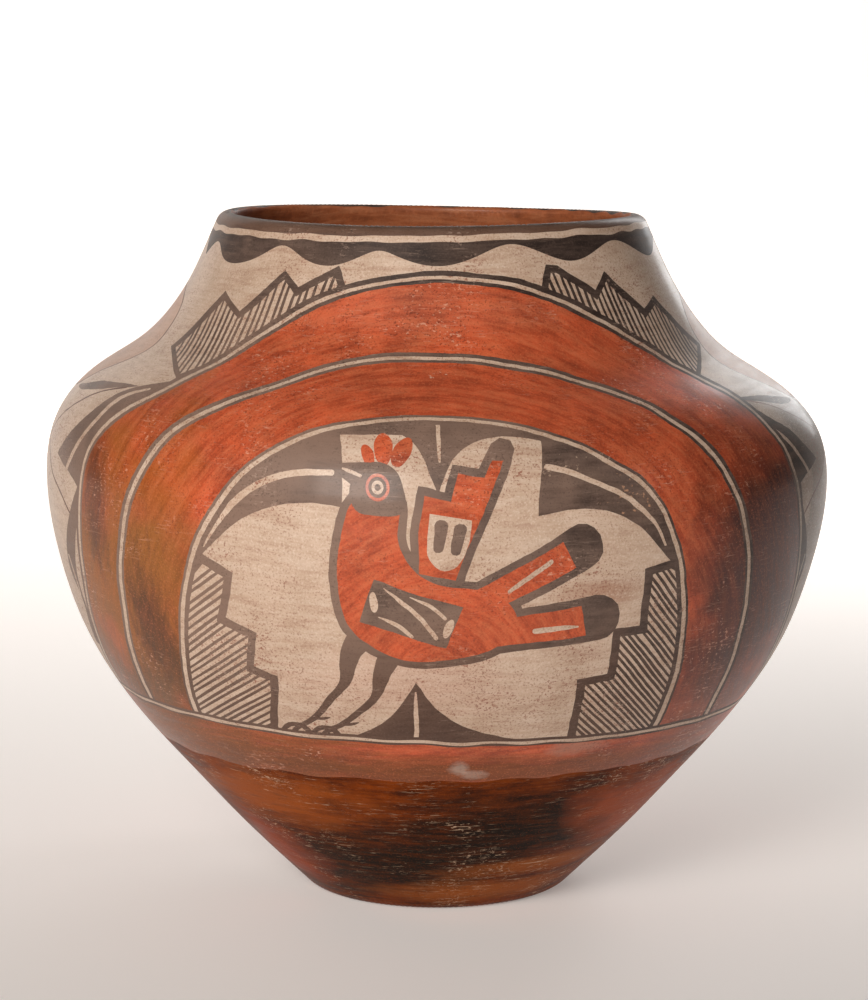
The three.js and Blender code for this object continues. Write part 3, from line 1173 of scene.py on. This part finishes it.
def wall_vector(around, up):
    """The wall vector of a place given in tape millimetres: its turn on a circle, and its height up."""
    radius = float(radius_at(up))
    turn = around / radius
    return (float(np.sin(turn)) * radius * MM, float(np.cos(turn)) * radius * MM, up * MM)


def patch_mask(tree, wall, around, up, reach_round, reach_up, grain):
    """1 at a place on the wall, fading out at its reach. The grain frays its edge, and breaks chips up."""
    away = add(tree, "VectorMath", {0: wall, 1: wall_vector(around, up)}, operation="SUBTRACT")
    squash = (1.0 / (reach_round * MM), 1.0 / (reach_round * MM), 1.0 / (reach_up * MM))
    far = add(tree, "VectorMath", {0: stretched(tree, away.outputs[0], squash)}, operation="LENGTH")
    *scale, detail, fray, less = GRAIN[grain]
    frayed = times(tree, noise(tree, stretched(tree, wall, scale), 1.0, detail, 0.6), fray)
    total = plus(tree, far.outputs["Value"], frayed)
    edge = fray / 2.0 - less
    return spread(tree, total, edge + PATCH_EDGE[0], edge + PATCH_EDGE[1])


def streak_vector(tree, source, place):
    """Where the rubbing streaks are read: long along the strokes and close together across them."""
    sway = add(tree, "TexNoise", {"Vector": place, "Scale": 9.0, "Detail": 1.0}).outputs["Color"]
    moved = add(tree, "VectorMath", {0: sway, 1: STREAK_SWAY, 2: source}, operation="MULTIPLY_ADD")
    return stretched(tree, moved.outputs[0], STREAK_SCALE)


def earthenware(name, tones, rough, streaks=0.5, grit=0.4, scratches=0.3, chips=0.3, patches=(),
                shine=0.4, polish=0.1, follow=WALL_VECTOR):
    """Burnished clay or paint. Its tones are the ground, a second ground, streaks, grit and scratches,
    and the streaks follow one of the mesh's vectors."""
    ground, second, streak_tone, grit_tone, scratch_tone = (linear(tone) for tone in tones)
    material, tree = blank_material(name)
    place = add(tree, "TexCoord").outputs["Object"]
    wall = add(tree, "Attribute", attribute_name=WALL_VECTOR).outputs["Vector"]
    strokes = add(tree, "Attribute", attribute_name=follow).outputs["Vector"]
    broad = noise(tree, place, 26.0, 9.0, 0.78)
    rubbed = noise(tree, streak_vector(tree, strokes, place), 1.0, 6.0, 0.66)
    crowd = noise(tree, place, 24.0, 4.0, 0.65)
    fine = noise(tree, place, 900.0, 2.0, 0.6)
    line = noise(tree, stretched(tree, wall, SCRATCH_SCALE), 1.0, 3.0, 0.6, 1.5)
    nick = noise(tree, stretched(tree, wall, FLAKE_SCALE), 1.0, 3.0, 0.6)

    pale, deep = spread(tree, rubbed, 0.46, 0.64), spread(tree, rubbed, 0.46, 0.34)
    dust = times(tree, spread(tree, fine, 0.57, 0.65), spread(tree, crowd, 0.38, 0.60, 0.2, 1.0))
    bright = times(tree, spread(tree, fine, 0.43, 0.35), spread(tree, crowd, 0.62, 0.40, 0.1, 0.5))
    marks = times(tree, spread(tree, line, 0.60, 0.67), spread(tree, crowd, 0.44, 0.60, 0.1, 1.0))
    flakes = times(tree, spread(tree, nick, 0.60, 0.64), spread(tree, crowd, 0.52, 0.62))
    layers = [(pale, streaks, streak_tone), (deep, 0.6 * streaks, grit_tone)]
    for *where, tone, share in patches:
        layers.append((patch_mask(tree, wall, *where), share, linear(tone)))
    if patches:
        layers += [(pale, 0.35 * streaks, streak_tone), (deep, 0.5 * streaks, grit_tone)]
    layers += [(dust, grit, grit_tone), (bright, grit, streak_tone), (marks, scratches, scratch_tone),
               (flakes, chips, scratch_tone)]
    colour = blend(tree, spread(tree, broad, 0.40, 0.60), ground, second)
    for mask, share, tone in layers:
        colour = blend(tree, times(tree, mask, share), colour, tone)

    roughness = spread(tree, rubbed, 0.3, 0.7, rough - 0.07, rough + 0.09)
    height = plus(tree, rubbed, times(tree, fine, 0.4))
    relief = add(tree, "Bump", {"Strength": 0.2, "Distance": 0.0007, "Height": height})
    shader = add(tree, "BsdfPrincipled",
                 {"Base Color": colour, "Roughness": roughness, "Normal": relief.outputs["Normal"],
                  "Specular IOR Level": shine, "Coat Weight": polish, "Coat Roughness": 0.16})
    add(tree, "OutputMaterial", {"Surface": shader.outputs["BSDF"]})
    return material


# Stains, smoke streaks and scuffs on the red. The faint pale haze over the top of the outer arch is a painted
# sheen, and the two dark soft patches out on the jar's right side are painted shade over some smoke
# darkening.
RED_STAINS_SHEEN_AND_SHADE = [
    (-198, 240, 76, 125, "soft", "#8C581A", 0.86), (-175, 232, 16, 62, "up", "#38220F", 0.75),
    (-224, 300, 14, 42, "up", "#4A2A14", 0.7), (-150, 200, 28, 38, "up", "#5E3819", 0.7),
    (-204, 178, 60, 40, "soft", "#61401F", 0.75), (-20, 441, 95, 15, "round", "#B87C64", 0.12),
    (226, 262, 78, 128, "soft", "#2A1510", 0.9), (200, 215, 54, 66, "soft", "#482118", 0.7),
    (-150, 150, 130, 26, "round", "#7C4410", 0.9), (40, 143, 230, 13, "cloud", "#6E3A10", 0.85),
    (12, 147, 5, 8, "scuff", "#C4B2A4", 0.5), (20, 141, 7, 4, "scuff", "#C4B2A4", 0.4),
    (80, 160, 18, 6, "scuff", "#A89484", 0.4), (160, 160, 60, 40, "soft", "#7E3A1A", 0.65)]
BASE_PATCHES = [
    (50, 88, 84, 44, "cloud", "#17100B", 0.93), (16, 68, 92, 34, "cloud", "#1A120C", 0.9),
    (-54, 42, 80, 40, "cloud", "#1A120B", 0.92), (-108, 50, 32, 40, "soft", "#9A3E1A", 0.8),
    (132, 92, 52, 44, "soft", "#A04820", 0.9), (62, 44, 52, 10, "cloud", "#96501E", 0.9),
    (24, 20, 56, 12, "cloud", "#96501E", 0.85), (-105, 108, 66, 26, "cloud", "#A6541A", 0.7)]
# Stains on the cream. The large dark soft patch far out on the jar's right side is painted shade over some
# smoke darkening.
CREAM_STAINS_AND_SHADE = [
    (92, 262, 24, 9, "round", "#A06E54", 0.55), (-20, 212, 60, 22, "round", "#C6A08C", 0.5),
    (300, 320, 90, 130, "soft", "#54463C", 0.8), (215, 420, 60, 60, "soft", "#9A8472", 0.6)]
CHIPS = [
    (3, 400, 11, 5, "chip", "#D2B49C", 0.85), (100, 392, 12, 6, "chip", "#D2B49C", 0.85),
    (112, 384, 11, 5, "chip", "#D2B49C", 0.85), (90, 339, 9, 8, "chip", "#D2B49C", 0.8),
    (150, 345, 16, 9, "chip", "#C89C80", 0.7), (-60, 425, 16, 6, "chip", "#C89C80", 0.7)]
# The first patch, large, soft and lighter, over the left of the panel, is a painted sheen where the polished
# black faces the light. The others are darker and browner areas, chips and the worn lip.
BLACK_SHEEN_STAINS_AND_WEAR = [
    (-165, 275, 225, 200, "soft", "#8A6F60", 0.88), (55, 468, 130, 48, "soft", "#261C18", 0.6),
    (0, 185, 240, 46, "soft", "#523628", 0.65), (112, 318, 30, 22, "chip", "#C09070", 0.8),
    (66, 331, 16, 10, "chip", "#C8AC94", 0.8), (90, 339, 12, 10, "chip", "#D2B49C", 0.8),
    (0, 489, 2000, 5, "cloud", "#84604C", 0.45)]

finishes = {
    "cream": earthenware("cream_slip", ("#CBAF99", "#BC9F88", "#E4D2C0", "#7E4632", "#8A4B35"), 0.46,
                         streaks=0.2, grit=0.8, scratches=0.5, chips=0.7, patches=CREAM_STAINS_AND_SHADE, shine=0.3,
                         polish=0.2),
    "black": earthenware("black_mineral_paint", ("#3E302A", "#5A4840", "#776256", "#261B16", "#A68C7C"), 0.5,
                         streaks=0.34, grit=0.5, scratches=0.5, chips=0.6, patches=BLACK_SHEEN_STAINS_AND_WEAR, shine=0.25,
                         polish=0.12),
    "red": earthenware("red_slip", ("#C95834", "#A0462A", "#D87A50", "#501F14", "#DDA488"), 0.42,
                       streaks=0.3, grit=0.6, scratches=0.4, chips=0.6, patches=RED_STAINS_SHEEN_AND_SHADE + CHIPS,
                       shine=0.22, polish=0.3, follow=STROKE_VECTOR),
    "brown": earthenware("thin_brown_paint", ("#6E4A3A", "#5F3F32", "#8A6450", "#5B3E31", "#A88872"), 0.5),
    "wash": earthenware("thinned_red_wash", ("#C9A48E", "#BC9078", "#D4B29E", "#8E5F48", "#A0674B"), 0.5),
    "base": earthenware("polished_base_clay", ("#753104", "#4C1C03", "#94440C", "#201006", "#D2B294"), 0.36,
                        streaks=0.42, grit=0.45, scratches=0.75, chips=0.6, patches=BASE_PATCHES, shine=0.03,
                        polish=0.03),
    "inside": earthenware("inner_clay", ("#B0623A", "#8A4A2C", "#C47E56", "#6A3B27", "#B58467"), 0.6),
}
print("finishes:", ", ".join(finishes))

# %% [markdown]
# ## Close the jar
#
# The corners of the sheet go to their places on the jar. Its two sides are welded, and the corners
# that crowd together in the middle of the underside and of the floor become one each. The smooth
# normals come from the wall's own formula, so thin triangles beside the paint leave no marks in the
# shine.

# %% Build the jar's mesh
WELD = 1e-6
ROUND_STEP = 1e-3
UP_STEP = 0.6
CLEAR_OF_END = 2.0
AT_END = 1.9
ARCH_MIDDLE = 213.0
ARCH_POWER = 1.7
ARCH_LEAN = 0.8


def skin_normal(turn, up):
    """The direction out of the clay: the cross product of two short steps, round and up. Both steps
    stay off the ends of the skin, where every turn meets in one point."""
    held = np.clip(up, up_skin[0] + CLEAR_OF_END, up_skin[-1] - CLEAR_OF_END)
    round_step = skin_point(turn + ROUND_STEP, held) - skin_point(turn - ROUND_STEP, held)
    up_step = skin_point(turn, held + UP_STEP) - skin_point(turn, held - UP_STEP)
    normal = np.cross(round_step, up_step)
    normal /= np.linalg.norm(normal, axis=-1, keepdims=True)
    at_end = np.abs(held - up) > AT_END
    normal[at_end] = (0.0, 0.0, 1.0)
    normal[at_end & (up < 0.0)] = (0.0, 0.0, -1.0)
    return normal


def arch_radius(turn, up):
    """How far out a place lies in the rainbow of its panel: the same number all along one arch. It is
    (|across| ** p + |above| ** p) ** (1 / p), with p a little under the circle's 2."""
    across = ((turn + np.pi / 2) % np.pi - np.pi / 2) * radius_at(up)
    above = np.maximum(up - ARCH_MIDDLE, 0.0)
    return (np.abs(across) ** ARCH_POWER + above ** ARCH_POWER) ** (1.0 / ARCH_POWER)


def build_jar():
    """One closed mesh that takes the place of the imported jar."""
    turn, up = sheet_corners.T
    mesh = bpy.data.meshes.new("painted_jar")
    mesh.from_pydata((skin_point(turn, up) * MM).tolist(), [], sheet_triangles.tolist())
    kinds = list(finishes)
    slots = np.array([kinds.index(kind) for kind in shown], dtype=np.int32)
    mesh.polygons.foreach_set("material_index", slots)
    for kind in kinds:
        mesh.materials.append(finishes[kind])

    ring = radius_at(up) * MM
    east, north = np.sin(turn) * ring, np.cos(turn) * ring
    out_of_arch = np.where(up > frame_line(np.degrees(turn)), arch_radius(turn, up), up) * MM
    vectors = {WALL_VECTOR: np.stack([east, north, up * MM], axis=1),
               STROKE_VECTOR: np.stack([east, north + ARCH_LEAN * up * MM, out_of_arch], axis=1),
               NORMAL_VECTOR: skin_normal(turn, up)}
    for name, values in vectors.items():
        attribute = mesh.attributes.new(name, "FLOAT_VECTOR", "POINT")
        attribute.data.foreach_set("vector", values.astype(np.float32).ravel())

    work = bmesh.new()
    work.from_mesh(mesh)
    bmesh.ops.remove_doubles(work, verts=work.verts, dist=WELD)
    bmesh.ops.delete(work, geom=[corner for corner in work.verts if not corner.link_faces], context="VERTS")
    work.to_mesh(mesh)
    open_edges = sum(1 for edge in work.edges if not edge.is_manifold)
    work.free()

    out = mesh.attributes[NORMAL_VECTOR]
    normals = np.zeros(len(mesh.vertices) * 3, dtype=np.float32)
    out.data.foreach_get("vector", normals)
    mesh.attributes.remove(out)
    mesh.shade_smooth()
    mesh.normals_split_custom_set_from_vertices(normals.reshape(-1, 3))
    return mesh, open_edges


mesh, open_edges = build_jar()
jar = bpy.data.objects.new("painted_jar", mesh)
bpy.context.collection.objects.link(jar)
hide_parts("jar")
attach(jar, "root")
print(len(mesh.vertices), "corners,", len(mesh.polygons), "faces,", open_edges, "open edges")
